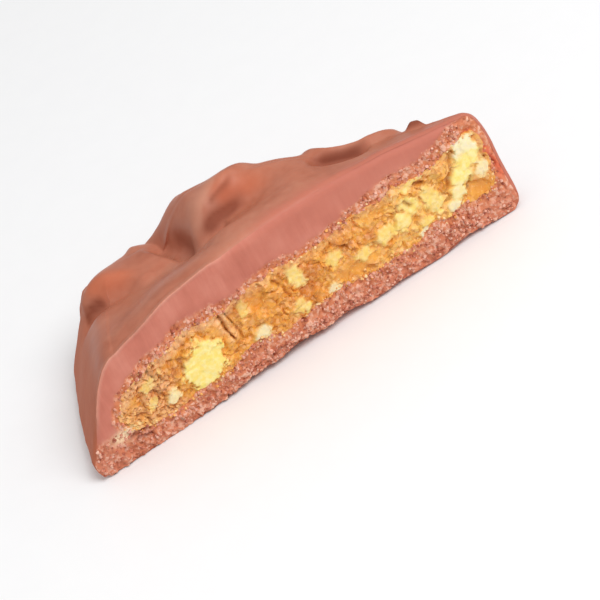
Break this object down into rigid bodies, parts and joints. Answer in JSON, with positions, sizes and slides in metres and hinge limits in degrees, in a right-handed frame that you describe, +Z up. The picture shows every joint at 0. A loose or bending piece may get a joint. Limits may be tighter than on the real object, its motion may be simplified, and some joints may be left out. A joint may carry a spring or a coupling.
{
  "type": "english toffee piece",
  "caption": "Chocolate-coated toffee bar cut lengthwise, with a flat base, a flat cut face that shows the brittle core, and a lobed, folded back. Rests on its base as food or decoration.",
  "frame": {"origin": "Middle of the whole's base, on the surface it rests on.", "axes": "X along the cut, Y from the cut face to the back, Z up."},
  "size_m": [0.0478, 0.0204, 0.0154],
  "materials": {
    "milk_chocolate": "milk chocolate, satin gloss",
    "brittle_toffee": "crystalline amber toffee, rough where cut"
  },
  "bodies": {
    "root": {"chocolate_coat": "milk_chocolate", "toffee_core": "brittle_toffee"}
  },
  "joints": []
}
